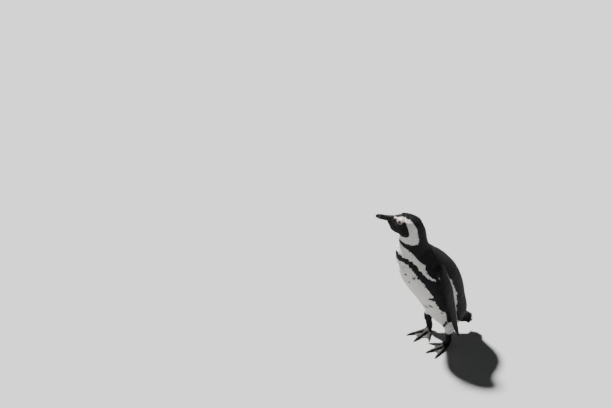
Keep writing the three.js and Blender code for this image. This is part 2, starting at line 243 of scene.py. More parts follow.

# %% Outlines of the body's markings, degrees from the breast's middle and height in mm
# Top of the dark collar. The collar is partly black feathers and partly painted shade of the crease
# between the cheeks and the breast.
COLLAR_AND_SHADE_TOP = [(0, 431), (20, 430), (38, 427), (58, 424), (180, 423)]
BACK_EDGE = [(0, 421), (9, 421), (23.5, 417), (36, 409.5), (48, 399), (58, 386), (67, 372),
             (72, 362), (80, 353), (86, 347), (81, 338), (76, 329), (78, 320), (82, 309),
             (87, 299), (92, 295), (93, 287), (100, 284), (113, 285), (128, 281), (126, 260),
             (123.5, 231), (118.5, 204), (108, 173), (97, 142), (90, 111), (94, 90), (106, 64),
             (125, 40), (200, 40), (200, 500), (0, 500)]
BAND = [(0, 388), (9, 388), (24, 380), (37, 372), (50, 357), (59, 333), (75, 303), (84, 293),
        (92, 287), (103, 285), (107, 262), (105, 235), (98, 200), (92, 165), (90, 142),
        (88, 109), (74, 112), (66, 110), (59, 101), (54, 92.5), (43, 79), (38, 83), (52, 98.5),
        (58, 109), (66, 121), (72, 152), (64, 164), (62, 202), (62, 247), (56.5, 282), (47, 318),
        (36, 343), (27, 354), (22, 359), (10, 361), (0, 360)]
# Each belly spot: degrees, height in mm, radius in mm.
SPOTS = [(23, 310, 3.6), (40, 303, 5.2), (49.5, 300, 4.2), (25, 281, 4), (57.5, 215, 7),
         (52, 216, 4.4), (44, 177, 6.2), (64, 150, 4.4), (20, 172, 3), (-31, 306, 4),
         (-14, 292, 3.2), (-47, 262, 4.4), (-36, 214, 3.6), (-50, 188, 4.6), (-12, 236, 3.2)]
# One thin dark streak low on the belly: from and to, in degrees and mm, and half its width.
STREAK = [(9, 181), (33, 163)]
STREAK_HALF = 3
# All marks on the body sit this many degrees nearer to the breast's middle.
MARK_SHIFT = 3.5
BELLY_RADIUS = 85
print("body outlines:", len(BACK_EDGE) + len(BAND) + len(SPOTS), "marks and spots")

# %% How white any place is
def inside(outline, across, up):
    """Which points lie inside a closed outline, counted by how often a ray leaves it."""
    hits = np.zeros(np.shape(across), bool)
    for (ax, ay), (bx, by) in zip(outline, outline[1:] + outline[:1]):
        if ay == by:
            continue
        crosses = (ay > up) != (by > up)
        hits ^= crosses & (across < (bx - ax) * (up - ay) / (by - ay) + ax)
    return hits


def how_white_head(points):
    """1 on the white stripe and throat, 0 on the mask, crown and nape."""
    side, ahead, up = (1000 * v for v in head_ruler(points))
    white = inside(FACE_WHITE, ahead, up) & ~inside(MASK, ahead, up)
    beside_crown = np.abs(side) > np.interp(ahead, *zip(*CROWN_HALF))
    on_throat = up < -5
    return (white & (beside_crown | on_throat)).astype(float)


def wobble(along, size, slow, fast, start):
    """Two small waves, so that no border on the body runs as straight as a ruler."""
    return size * np.sin(along * slow) + size * np.sin(along * fast + start)


def how_white_body(points):
    """1 on breast, belly and flank stripe, 0 on back, band, spots and the collar, partly painted
    shade.
    """
    angle, height = body_ruler(points)
    high = 1000 * height
    angle = angle + MARK_SHIFT * np.sign(angle)
    turn = np.abs(angle) + wobble(high, 0.9, 0.52, 1.13, 1)
    high = high + wobble(angle, 0.8, 0.55, 1.4, 2)
    black = inside(BACK_EDGE, turn, high) | inside(BAND, turn, high)
    for spot_turn, spot_high, radius in SPOTS:
        across = np.radians(angle - spot_turn) * BELLY_RADIUS
        black |= np.hypot(across, high - spot_high) < radius
    streak_turns, streak_heights = zip(*STREAK)
    streak = np.abs(high - np.interp(angle, streak_turns, streak_heights)) < STREAK_HALF
    black |= streak & (angle > streak_turns[0]) & (angle < streak_turns[1])
    return (~black).astype(float)


def how_white(points):
    """How white the coat is at each place, from 0 to 1."""
    angle, height = body_ruler(points)
    # Above this line the head's markings hold. Below it, down to the back's edge, runs the dark
    # collar: partly black feathers, partly painted shade of the crease under the cheeks.
    collar_and_shade_top = np.interp(np.abs(angle), *zip(*COLLAR_AND_SHADE_TOP)) / 1000
    return np.where(height > collar_and_shade_top, how_white_head(points), how_white_body(points))


print("white at the throat:", how_white(np.array([from_head(0.02, 0.0, -0.05)])))

# %% [markdown]
# ## One skin without seams
# The solids are parted where a person would name the parts, so they show thin cuts. A boolean
# union would keep every facet. A voxel remesh melts the overlapping shells into one even
# surface, which is also easy to smooth and to feather. The joined copy is first swollen by a
# hair, so that the cuts close, and the face is divided once more because it needs finer shapes.

# %% Melt the flesh into one surface
FLESH = ["head", "neck", "trunk", "tail", "leg_left", "leg_right", "flipper_left",
         "flipper_right"]
SWELL = 0.0004
VOXEL = 0.0022


def rows_of(items, field):
    """Three numbers of every vertex or face as rows of x, y, z."""
    flat = np.empty(len(items) * 3, np.float32)
    items.foreach_get(field, flat)
    return flat.reshape(-1, 3).astype(float)


skin = copy_solids("skin", *FLESH, "eye_left", "eye_right")
finish_with(skin, "DISPLACE", strength=SWELL, mid_level=0)
finish_with(skin, "REMESH", mode="VOXEL", voxel_size=VOXEL)

_, ahead, up = head_ruler(rows_of(skin.data.polygons, "center"))
on_face = (ahead > -0.012) & (ahead < 0.08) & (up > -0.05)
skin.data.polygons.foreach_set("select", on_face)
bpy.context.tool_settings.mesh_select_mode = (False, False, True)
work_on(skin)
mode("EDIT")
bpy.ops.mesh.subdivide(number_cuts=1)
mode("OBJECT")
print("skin points:", len(skin.data.vertices), "of them on the face:", int(on_face.sum()))

# %% [markdown]
# ## Which part is which
# Coat and softness differ from part to part: 2 mm on the trunk, thinner on the face, and less
# than 1 mm on the flippers. Every skin point asks for the nearest measured solid and takes
# its name. That is quicker and safer than marking parts by height. Then the whole skin is
# smoothed, and two places much longer: where the flippers leave the shoulders and where the
# tail leaves the rump, the overlapping solids would otherwise show as a crease.

# %% Name every skin point by its nearest solid, and smooth the joins
# Each part's coat depth in metres, softness of form, and feather length in mm.
COAT = {"head": (0.0012, 0.5, 4.3), "neck": (0.0018, 1, 6.6), "trunk": (0.002, 1, 8.5),
        "tail": (0.002, 0.8, 9), "leg_left": (0.0016, 0.6, 6.4), "leg_right": (0.0016, 0.6, 6.4),
        "flipper_left": (0.0008, 0.35, 4.3), "flipper_right": (0.0008, 0.35, 4.3)}
WEIGHT_LEVELS = 40


def places_of(mesh):
    """A mesh's vertices as rows."""
    return rows_of(mesh.vertices, "co")


def step(low, high, value):
    """0 below low, 1 above high, and a soft rise between."""
    t = np.clip((value - low) / (high - low), 0, 1)
    return t * t * (3 - 2 * t)


def between(start, full, fading, end, value):
    """1 from full to fading, 0 before start and after end, soft in between."""
    return step(start, full, value) * (1 - step(fading, end, value))


corners = []
facets = []
owner = []
for number, part in enumerate(FLESH):
    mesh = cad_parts[part].data
    first = len(corners)
    corners.extend(v.co.copy() for v in mesh.vertices)
    facets.extend([first + v for v in polygon.vertices] for polygon in mesh.polygons)
    owner.extend([number] * len(mesh.polygons))
solid_tree = BVHTree.FromPolygons(corners, facets)
part_of = np.array([owner[solid_tree.find_nearest(v.co)[2]] for v in skin.data.vertices])
coat_depth, softness, feather_mm = np.array([COAT[part] for part in FLESH])[part_of].T


def weigh(thing, name, amounts):
    """A vertex group with these weights, in a few even steps."""
    group = thing.vertex_groups.new(name=name)
    levels = np.round(np.asarray(amounts) * WEIGHT_LEVELS).astype(int)
    for level in np.unique(levels):
        chosen = np.flatnonzero(levels == level).tolist()
        group.add(chosen, level / WEIGHT_LEVELS, "REPLACE")


def smooth_where(name, weights, factor, rounds):
    """Smooths the skin as much as these weights say."""
    weigh(skin, name, weights)
    finish_with(skin, "SMOOTH", factor=factor, iterations=rounds, vertex_group=name)


smooth_where("soft", softness, 0.6, 14)
skin_spots = places_of(skin.data)
out = np.abs(skin_spots[:, 0])
behind = skin_spots[:, 1] - ahead_zero
height = skin_spots[:, 2]
shoulder = between(0.272, 0.300, 0.345, 0.370, height) * step(0.042, 0.058, out)
tail_base = between(0.070, 0.085, 0.125, 0.145, height) * step(0.050, 0.070, behind)
tail_base *= 1 - step(0.060, 0.075, out)
smooth_where("shoulder", shoulder, 0.7, 60)
smooth_where("tail_base", tail_base, 0.7, 60)
for number, part in enumerate(FLESH):
    print(part, int((part_of == number).sum()), "points")

# %% [markdown]
# ## Room for the coat
# The solids reach out to the feather tips, so the skin moves inwards by the depth of the coat.
# The depth is averaged between neighbours first. Without that, the skin would have a step
# wherever two parts meet. Beside the bill the coat is thinnest, and round each eye the skin
# dips a little, as a socket.

# %% Sink the skin by the coat's depth
DEEPEST = 0.003
THINNER_BY_BILL = 0.55
SOCKET_DIP = 0.0012
SOCKET_RADIUS = 0.0062
SOCKET_WIDTH = 0.003

edges = np.empty(len(skin.data.edges) * 2, int)
skin.data.edges.foreach_get("vertices", edges)
edge_a, edge_b = edges.reshape(-1, 2).T


def move_to(mesh, places):
    """Puts a mesh's vertices at these places."""
    mesh.vertices.foreach_set("co", np.asarray(places, float).ravel())
    mesh.update()


def even_out(values, rounds):
    """Averages each point's value with its neighbours', several times over."""
    count = len(values)
    links = np.bincount(edge_a, minlength=count) + np.bincount(edge_b, minlength=count)
    for _ in range(rounds):
        total = np.bincount(edge_a, values[edge_b], count)
        total += np.bincount(edge_b, values[edge_a], count)
        values = 0.5 * values + 0.5 * total / np.maximum(links, 1)
    return values


_, ahead, up = head_ruler(places_of(skin.data))
near_bill = step(0.012, 0.04, ahead) * (up > -0.06)
depth = even_out(coat_depth * (1 - THINNER_BY_BILL * near_bill), 12)
weigh(skin, "coat", depth / DEEPEST)
finish_with(skin, "DISPLACE", strength=-DEEPEST, mid_level=0, vertex_group="coat")

skin_spots = places_of(skin.data)
for word, sign in SIDES:
    away = np.linalg.norm(skin_spots - np.array(eye_spots[word]), axis=1)
    dip = SOCKET_DIP * np.exp(-((away - SOCKET_RADIUS) / SOCKET_WIDTH) ** 2)
    skin_spots += np.outer(dip, head_turn @ Vector((-sign, 0, 0)))
move_to(skin.data, skin_spots)
skin.vertex_groups.clear()
skin.data.polygons.foreach_set("use_smooth", np.ones(len(skin.data.polygons), bool))
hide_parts(*FLESH)
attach(skin, "root")
print("coat depth in mm:", round(1000 * depth.min(), 2), "to", round(1000 * depth.max(), 2))

# %% [markdown]
# ## One feather
# A penguin's body feather is short, stiff and slightly cupped, with a broad round end, and it
# lies on the next one like a roof tile. It will be repeated tens of thousands of times, so it
# has only sixteen faces. A very low cone of eight sides is the start: its rim becomes the
# outline of the vane, its point the ridge of the shaft, and the middle of its base the hollow.
# It is modelled once, one unit wide and one unit long, with its root at the origin.

# %% Model one feather from a low cone
def pick_flagged(thing, flags):
    """Selects the vertices whose flag is true, and opens edit mode."""
    bpy.context.tool_settings.mesh_select_mode = (True, False, False)
    mode("EDIT")
    bpy.ops.mesh.select_all(action="DESELECT")
    mode("OBJECT")
    thing.data.vertices.foreach_set("select", np.asarray(flags, bool))
    mode("EDIT")


def pick(thing, test):
    """Selects the vertices that pass a test on their place, and opens edit mode."""
    pick_flagged(thing, [bool(test(vertex.co)) for vertex in thing.data.vertices])


RIDGE = 0.7
NARROW_ROOT = 0.66
BROAD_END = 1.12
HOLLOW = 0.12

select_nothing()
bpy.ops.mesh.primitive_cone_add(vertices=8, radius1=0.5, radius2=0, depth=RIDGE,
                                end_fill_type="TRIFAN", location=(0, 0.5, RIDGE / 2))
feather = named("feather_pattern")
bpy.ops.object.transform_apply(location=True)
pick(feather, lambda v: v.y < 0.4 and abs(v.x) > 0.1)
bpy.ops.transform.resize(value=(NARROW_ROOT, 1, 1), center_override=(0, 0, 0))
pick(feather, lambda v: v.y > 0.6 and abs(v.x) > 0.1)
bpy.ops.transform.resize(value=(BROAD_END, 1, 1), center_override=(0, 0, 0))
pick(feather, lambda v: abs(v.x) > 0.1)
bpy.ops.transform.translate(value=(0, 0, -RIDGE / 2))
pick(feather, lambda v: abs(v.x) < 0.1 and 0.4 < v.y < 0.6 and v.z < RIDGE / 2)
bpy.ops.transform.translate(value=(0, 0, HOLLOW))
mode("OBJECT")

VANE = places_of(feather.data)
VANE_FACES = np.array([list(p.vertices) for p in feather.data.polygons])
bpy.data.objects.remove(feather)
print("one feather:", len(VANE), "points,", len(VANE_FACES), "faces")

# %% [markdown]
# ## Which way feathers lie, and how big they are
# All feathers point away from the bill: back over the crown, down the neck and body, aft under
# the belly and along the tail, and out along the flippers. Their size changes just as smoothly,
# from under 3 mm beside the bill to about 9 mm on the trunk and tail. Both are worked out at
# the skin's points and averaged between neighbours, so that no line shows where parts meet.

# %% The flippers' own ruler
CHORD_TURN = math.radians(42)
FLIPPER_HEIGHTS = [0.085, 0.106, 0.140, 0.182, 0.223, 0.260, 0.298, 0.326]
FLIPPER_ACROSS = [0.112, 0.110, 0.107, 0.103, 0.098, 0.092, 0.076, 0.058]
FLIPPER_AHEAD = [-0.026, -0.020, -0.013, -0.007, -0.001, 0.004, 0.014, 0.014]
FLIPPER_HALF = [0.0042, 0.0118, 0.0179, 0.0232, 0.0274, 0.0286, 0.0238, 0.0168]


def flipper_ruler(points):
    """Distance ahead of a flipper's middle line along its chord, and half the chord there."""
    height = points[:, 2]
    out = np.abs(points[:, 0]) - np.interp(height, FLIPPER_HEIGHTS, FLIPPER_ACROSS)
    ahead = ahead_zero - points[:, 1]
    ahead = ahead - np.interp(height, FLIPPER_HEIGHTS, FLIPPER_AHEAD)
    chord = out * math.sin(CHORD_TURN) + ahead * math.cos(CHORD_TURN)
    return chord, np.interp(height, FLIPPER_HEIGHTS, FLIPPER_HALF)


def outer_face(points, normals):
    """How far a flipper's surface faces outwards: 1 outer, -1 inner."""
    way = np.sign(points[:, 0])
    return way * normals[:, 0] * math.cos(CHORD_TURN) + normals[:, 1] * math.sin(CHORD_TURN)


print("widest flipper chord:", 2 * max(FLIPPER_HALF), "m")

# %% Lie and size of the feathers at every skin point
def normals_of(mesh):
    """A mesh's smooth normals, one row for each vertex."""
    return rows_of(mesh.vertex_normals, "vector")


def unit(rows):
    """Rows made one unit long."""
    return rows / np.maximum(np.linalg.norm(rows, axis=1, keepdims=True), 1e-9)


def flatten(rows, normals):
    """Directions laid flat on the surface and made one unit long."""
    return unit(rows - normals * (rows * normals).sum(1, keepdims=True))


FINER_BY_BILL = 0.36
FLIPPER_RIM = 0.006
RIM_FEATHER_MM = 3.4

is_part = {part: part_of == number for number, part in enumerate(FLESH)}
is_flipper = is_part["flipper_left"] | is_part["flipper_right"]
is_leg = is_part["leg_left"] | is_part["leg_right"]
skin_spots = places_of(skin.data)
skin_normals = normals_of(skin.data)
height = skin_spots[:, 2]
lean = np.gradient(BODY_AHEAD, BODY_HEIGHTS)
aft = np.interp(height, BODY_HEIGHTS, lean) + 1.6 * (1 - step(0.06, 0.14, height))
lie = np.stack([0 * height, aft, -np.ones(len(height))], 1)
lie[is_leg] = (0, 0.15, -1)
lie[is_part["tail"]] = (0, 0.78, -0.63)
way = np.sign(skin_spots[:, 0])
trailing = np.stack([-way * math.sin(CHORD_TURN), math.cos(CHORD_TURN) + 0 * way, 0 * way], 1)
along = np.stack([0.22 * way, 0.12 + 0 * way, -1 + 0 * way], 1)
lie[is_flipper] = (along + 0.28 * trailing)[is_flipper]
bill_root = np.array(from_head(0, 0.046, -0.004))
from_bill = unit(skin_spots - bill_root)
on_head = step(0.435, 0.475, height)[:, None]
lie = unit(lie) * (1 - 0.8 * on_head) + from_bill * on_head
for axis in range(3):
    lie[:, axis] = even_out(lie[:, axis], 10)
lie = flatten(lie, skin_normals)

_, ahead, _ = head_ruler(skin_spots)
chord, half = flipper_ruler(skin_spots)
at_rim = is_flipper & (chord > half - FLIPPER_RIM)
near_bill = step(0.0, 0.04, ahead) * on_head[:, 0]
size = even_out(np.where(at_rim, RIM_FEATHER_MM, feather_mm), 60)
size = size * (1 - FINER_BY_BILL * near_bill) / 1000
print("feathers from", round(1000 * size.min(), 1), "to", round(1000 * size.max(), 1), "mm long")

# %% [markdown]
# ## Where the feathers stand
# Feathers stand at even distances but in no grid. Far too many spots are thrown on the skin at
# random, and each one that is kept clears its neighbours away. The distance is a quarter of
# a feather's length, so several layers lie over every spot, as tiles do on a roof. Bare
# places stay bare: the gland over the eye, and the eye itself.

# %% Throw spots on the skin and thin them out
SPREAD = 0.25
THROWS = 7
EYE_CLEAR = 0.0071

skin.data.calc_loop_triangles()
triangles = np.empty(len(skin.data.loop_triangles) * 3, int)
skin.data.loop_triangles.foreach_get("vertices", triangles)
triangles = triangles.reshape(-1, 3)
edge_1 = skin_spots[triangles[:, 1]] - skin_spots[triangles[:, 0]]
edge_2 = skin_spots[triangles[:, 2]] - skin_spots[triangles[:, 0]]
areas = np.linalg.norm(np.cross(edge_1, edge_2), axis=1) / 2
wanted = areas / (SPREAD * size[triangles].mean(1)) ** 2
thrown = int(wanted.sum() * THROWS)
chosen = dice.choice(len(triangles), thrown, p=wanted / wanted.sum())
first = dice.random(thrown)
second = dice.random(thrown)
over = first + second > 1
first[over] = 1 - first[over]
second[over] = 1 - second[over]
shares = np.stack([1 - first - second, first, second], 1)


def at_spots(values):
    """A value of the skin's points, read between them at each thrown spot."""
    mixed = values[triangles[chosen]]
    weights = shares if mixed.ndim == 2 else shares[:, :, None]
    return (mixed * weights).sum(1)


spots = at_spots(skin_spots)
spot_sizes = at_spots(size)
tree = KDTree(thrown)
for number, spot in enumerate(spots):
    tree.insert(spot, number)
tree.balance()
side, ahead, up = head_ruler(spots)
bare = inside(BARE_GLAND, 1000 * ahead, 1000 * up) & (np.abs(side) > 0.005)
for spot in eye_spots.values():
    bare |= np.linalg.norm(spots - np.array(spot), axis=1) < EYE_CLEAR
free = bytearray((~bare).astype(np.uint8).tobytes())
kept = []
for number in range(thrown):
    if not free[number]:
        continue
    kept.append(number)
    for _, near, _ in tree.find_range(spots[number], SPREAD * spot_sizes[number]):
        free[near] = 0
kept = np.array(kept)

roots = spots[kept]
root_sizes = spot_sizes[kept]
root_normals = unit(at_spots(skin_normals)[kept])
root_lie = flatten(at_spots(lie)[kept], root_normals)
root_part = part_of[triangles[chosen[kept], 0]]
print("feathers:", len(kept), "of", thrown, "thrown")

# %% [markdown]
# ## Colour, one feather at a time
# A feather shows only its end, so it takes the colour of the place under its tip, not of its
# root. A millimetre of scatter frays every edge, as on the live bird. The flippers are black
# outside with a thin white rear edge, and white inside with a dark front edge.

# %% How white each feather is
RIM_HEIGHTS = [0.09, 0.13, 0.18, 0.23, 0.29]
RIM_WIDTHS = [0.0014, 0.0034, 0.0055, 0.0065, 0.004]
TIP_SHOWS = 0.8
SCATTER = 0.0010


def how_white_everywhere(points, normals, part):
    """The markings with the flippers', legs' and tail's own rules added."""
    white = how_white(points) > 0.5
    height = points[:, 2]
    chord, half = flipper_ruler(points)
    on_flipper = (part >= FLESH.index("flipper_left")) & (height <= 0.305)
    outer = outer_face(points, normals) > -0.15
    edge = chord < -half + np.interp(height, RIM_HEIGHTS, RIM_WIDTHS)
    inner_dark = (chord > half - 0.007) | (height < 0.105)
    white = np.where(on_flipper, np.where(outer, edge, ~inner_dark), white)
    angle, _ = body_ruler(points)
    # Each leg is black below its hem and round its back. The right leg's hem sits 20 mm higher than
    # the left's, and that extra black is painted shade under the belly.
    for leg, sign, black_and_shade_hem in (("leg_left", 1, 0.057), ("leg_right", -1, 0.077)):
        dark = (part == FLESH.index(leg)) & ((height <= black_and_shade_hem) | (sign * angle >= 74))
        white = white & ~dark
    return (white & (part != FLESH.index("tail"))).astype(float)


visible = roots + root_lie * (root_sizes * TIP_SHOWS)[:, None]
visible += dice.normal(0, SCATTER, visible.shape)
root_white = how_white_everywhere(visible, root_normals, root_part)
print("white feathers:", int(root_white.sum()), "black:", int((1 - root_white).sum()))

# %% [markdown]
# ## Laying the coat
# Copying an object tens of thousands of times would be slow, so the feather's ten points are
# placed for all feathers at once, as rows of numbers, and become one mesh for each region.
# Every feather turns to its lie, rises a few degrees from the skin and bends down again, with
# a little chance in length, direction and rise. It also gets a small patch in the map named
# OFBake, at its root's place on an unwrapping of the body, so that its colour can be baked.

# %% The coat in regions
PATCH = 0.003
BEND = 0.09
CUP = 0.12


def unwrap(points, normals, part):
    """A flat place for every root: round and along the part that it stands on."""
    angle, height = body_ruler(points)
    flat = np.stack([np.radians(angle) * 0.08, height], 1)
    side, ahead, up = head_ruler(points)
    round_head = np.arctan2(side, -(up + 0.012)) * 0.028
    on_head = part == FLESH.index("head")
    flat[on_head] = np.stack([round_head, ahead], 1)[on_head]
    chord, _ = flipper_ruler(points)
    on_flipper = part >= FLESH.index("flipper_left")
    chord = chord + 0.075 * (outer_face(points, normals) > 0)
    flat[on_flipper] = np.stack([chord, height], 1)[on_flipper]
    for word, sign in SIDES:
        on_leg = part == FLESH.index(f"leg_{word}")
        if not on_leg.any():
            continue
        middle = points[on_leg].mean(0)
        turn = np.arctan2(points[:, 1] - middle[1], points[:, 0] - middle[0])
        flat[on_leg] = np.stack([0.02 * turn + 0.07 * sign, height], 1)[on_leg]
    on_tail = part == FLESH.index("tail")
    over = points[:, 0] + 0.09 * (normals[:, 2] > -0.2)
    flat[on_tail] = np.stack([over, points[:, 1]], 1)[on_tail]
    return flat


def keep_on_points(mesh, name, values):
    """Stores one number for each vertex, for a material to read."""
    kept = mesh.attributes.new(name, "FLOAT", "POINT")
    kept.data.foreach_set("value", np.asarray(values, np.float32))


def lay_coat(name, chosen, rise, wide):
    """One region of the coat as a single mesh."""
    count = int(chosen.sum())
    root = roots[chosen]
    normal = root_normals[chosen]
    length = root_sizes[chosen] * dice.uniform(0.88, 1.12, count)
    turn = dice.normal(0, 0.11, count)[:, None]
    sideways = unit(np.cross(root_lie[chosen], normal))
    flow = root_lie[chosen] * np.cos(turn) + sideways * np.sin(turn)
    across = unit(np.cross(flow, normal))
    lift = np.radians(rise * dice.uniform(0.75, 1.25, count))[:, None]
    up = normal * np.cos(lift) - flow * np.sin(lift)
    flow = flow * np.cos(lift) + normal * np.sin(lift)
    width = (length * wide)[:, None, None]
    long = length[:, None, None]
    vane_x, vane_y, vane_z = VANE.T[:, None, :, None]
    places = root[:, None] + across[:, None] * vane_x * width
    places = places + flow[:, None] * vane_y * long
    places = places + up[:, None] * (vane_z * width * CUP - vane_y ** 2 * long * BEND)
    faces = VANE_FACES[None] + len(VANE) * np.arange(count)[:, None, None]

    mesh = bpy.data.meshes.new(name)
    mesh.vertices.add(count * len(VANE))
    mesh.vertices.foreach_set("co", places.ravel())
    mesh.loops.add(faces.size)
    mesh.loops.foreach_set("vertex_index", faces.ravel())
    mesh.polygons.add(faces.size // 3)
    mesh.polygons.foreach_set("loop_start", np.arange(0, faces.size, 3))
    mesh.polygons.foreach_set("use_smooth", np.ones(faces.size // 3, bool))
    mesh.update()
    mesh.validate()

    flat = unwrap(root, normal, root_part[chosen])
    low, high = flat.min(0), flat.max(0)
    flat = 0.01 + 0.975 * (flat - low) / (high - low)
    patch = flat[:, None] + (VANE[None, :, :2] + (0.5, 0)) * PATCH
    bake = mesh.uv_layers.new(name="OFBake")
    bake.data.foreach_set("uv", patch.reshape(-1, 2)[faces.ravel()].ravel())

    def each(values):
        return np.repeat(values, len(VANE))

    keep_on_points(mesh, "white", each(root_white[chosen]))
    keep_on_points(mesh, "chance", each(dice.random(count)))
    keep_on_points(mesh, "along", np.tile(VANE[:, 1], count))
    keep_on_points(mesh, "across", np.tile(VANE[:, 0], count))
    coat = link_new(name, mesh)
    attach(coat, "root")
    print(name, count, "feathers,", len(mesh.polygons), "triangles")
    return coat


root_turn, root_height = body_ruler(roots)
on = {part: root_part == number for number, part in enumerate(FLESH)}
front = np.abs(root_turn) < 75
low = root_height < 0.235
face = head_ruler(roots)[1] > 0
# Name, which roots, rise in degrees, width as a share of the length, and slot.
REGIONS = [
    ("face", on["head"] & face, 9, 0.44, "head"),
    ("crown", on["head"] & ~face, 9, 0.44, "head"),
    ("neck", on["neck"], 9, 0.45, "neck"),
    ("breast", on["trunk"] & front & ~low, 8, 0.46, "body"),
    ("belly", on["trunk"] & front & low, 8, 0.46, "body"),
    ("back", on["trunk"] & ~front & ~low, 8, 0.46, "body"),
    ("rump", on["trunk"] & ~front & low, 8, 0.46, "body"),
    ("flipper_left", on["flipper_left"], 7, 0.55, "flipper"),
    ("flipper_right", on["flipper_right"], 7, 0.55, "flipper"),
    ("legs", on["leg_left"] | on["leg_right"], 12, 0.45, "leg"),
    ("tail", on["tail"], 8, 0.45, "tail"),
]
coats = [lay_coat(f"coat_{name}", chosen, rise, wide)
         for name, chosen, rise, wide, slot in REGIONS]
print("coat triangles:", sum(len(coat.data.polygons) for coat in coats))

# The skin under the coat wears the same markings.
keep_on_points(skin.data, "white", how_white_everywhere(skin_spots, skin_normals, part_of))

# %% [markdown]
# ## The bill
# The bill is horn over bone: a stout wedge with a rounded ridge, a hooked tip, and a groove that
# runs from the nostril along each side. The measured solids have its outline in flat facets.
# A merged copy of each half is remeshed in small voxels and smoothed, which rounds the facets,
# and then the grooves and nostrils are pressed in by moving points towards the middle. The tip
# is made a little narrower as well, because smoothing leaves it blunt.

# %% Smooth copies of the two halves
def smooth_copy(name, node, voxel, rounds):
    """A rounded copy of one measured solid, which then takes its place."""
    piece = copy_solids(name, node)
    finish_with(piece, "REMESH", mode="VOXEL", voxel_size=voxel)
    finish_with(piece, "SMOOTH", factor=0.5, iterations=rounds)
    work_on(piece)
    bpy.ops.object.shade_smooth()
    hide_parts(node)
    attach(piece, "root")
    return piece


# Both grooves and the nostril, ahead and up on the head's ruler.
NOSTRIL = (0.0535, 0.0012)
NOSTRIL_LENGTH = 2.6
GROOVES = {"bill_upper": [(0.044, 0.0022), (0.060, 0.0022), (0.074, 0.0030), (0.084, 0.0028)],
           "bill_lower": [(0.000, -0.0130), (0.100, -0.0080)]}
PRESSED = 0.001


def dent(deep, wide, away):
    """A soft dent, deepest where the distance away is nothing."""
    return deep * np.exp(-(away / wide) ** 2)


bill_halves = []
for half, groove in GROOVES.items():
    piece = smooth_copy(f"horn_{half}", half, 0.0007, 10)
    points = places_of(piece.data)
    side, ahead, up = head_ruler(points)
    off_line = up - np.interp(ahead, *zip(*groove))
    if half == "bill_upper":
        from_hole = np.hypot((ahead - NOSTRIL[0]) / NOSTRIL_LENGTH, up - NOSTRIL[1])
        press = dent(0.0007, 0.0009, off_line) * between(0.042, 0.048, 0.080, 0.086, ahead)
        press += dent(0.0012, 0.0009, from_hole)
    else:
        press = dent(0.0004, 0.0008, off_line) * (1 - step(0.074, 0.08, ahead))
    plates = 0.00004 * np.sin(ahead * 2600 + 3 * np.sin(up * 400))
    inward = np.sign(side) * step(0.001, 0.003, np.abs(side))
    narrower = 0.22 * side * step(0.060, 0.080, ahead)
    shift = (press + plates) * inward + narrower
    points -= np.outer(shift, head_turn @ Vector((1, 0, 0)))
    move_to(piece.data, points)
    keep_on_points(piece.data, "ahead", ahead)
    keep_on_points(piece.data, "press", press / PRESSED)
    bill_halves.append(piece)
    print(piece.name, len(piece.data.polygons), "faces")

# %% [markdown]
# ## The eyes and their lids
# A penguin's eye is dark brown and nearly all iris, wet, and set in a ring of bare skin. A ball
# with a slightly drawn-out front is enough, because what sells it is the highlight. Its colours
# are rings, so each point keeps its distance from the eye's axis for the material to read. The
# two lids are one torus, pressed into an oval, which rides on the ball and hides the socket.

# %% Eyeballs and lid rings
EYE_RADIUS = 0.0061
EYE_OPENING = 0.0045
EYE_SUNK = 0.0007
EYE_LOOK = (0.16, 0.05)
CORNEA_RISE = 0.0003
LID_RADIUS = 0.0047
LID_THICK = 0.0008
LID_FORWARD = 0.0041

eyes = []
lids = []
looks = {}
for word, sign in SIDES:
    look = head_turn @ Vector((sign, -EYE_LOOK[0], EYE_LOOK[1])).normalized()
    looks[word] = look
    turned = look.to_track_quat("Z", "Y").to_matrix().to_4x4()
    stand = Matrix.Translation(eye_spots[word] - look * EYE_SUNK) @ turned
    select_nothing()
    bpy.ops.mesh.primitive_uv_sphere_add(segments=40, ring_count=24, radius=EYE_RADIUS)
    eye = named(f"eyeball_{word}")
    pick(eye, lambda v: v.z > 0.87 * EYE_RADIUS)
    bpy.ops.transform.translate(value=(0, 0, CORNEA_RISE))
    mode("OBJECT")
    ball = places_of(eye.data)
    ring = np.hypot(ball[:, 0], ball[:, 1]) / EYE_RADIUS
    keep_on_points(eye.data, "ring", np.where(ball[:, 2] > 0, ring, 1))
    eye.data.transform(stand)
    bpy.ops.object.shade_smooth()
    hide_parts(f"eye_{word}")
    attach(eye, "root")
    eyes.append(eye)

    select_nothing()
    bpy.ops.mesh.primitive_torus_add(major_segments=72, minor_segments=14,
                                     major_radius=LID_RADIUS, minor_radius=LID_THICK,
                                     location=(0, 0, LID_FORWARD))
    lid = named(f"lid_{word}")
    bpy.ops.object.transform_apply(location=True)
    pick(lid, lambda v: v.length > 0)
    bpy.ops.transform.resize(value=(1.12, 0.93, 1), center_override=(0, 0, LID_FORWARD))
    mode("OBJECT")
    rim = places_of(lid.data)
    turn = np.arctan2(rim[:, 1], rim[:, 0])
    wrinkles = 1 + 0.02 * np.sin(26 * turn)
    rim[:, :2] *= wrinkles[:, None]
    rim[:, 2] -= LID_THICK * np.cos(turn) ** 2
    move_to(lid.data, rim)
    lid.data.transform(stand)
    bpy.ops.object.shade_smooth()
    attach(lid, "root")
    lids.append(lid)
print("eyes look", [round(v, 2) for v in look])

# %% [markdown]
# ## Bare skin over the eye
# From the bill to over the eye runs a patch with no feathers, a gland that sheds heat, with
# a pebbly skin. It needs far finer points than the big skin has. A flat grid is laid beside the
# head, every point is shot sideways onto the skin, and what misses the outline is deleted, as is
# the opening for the eye. The border dips just under the skin, so no edge stands up.

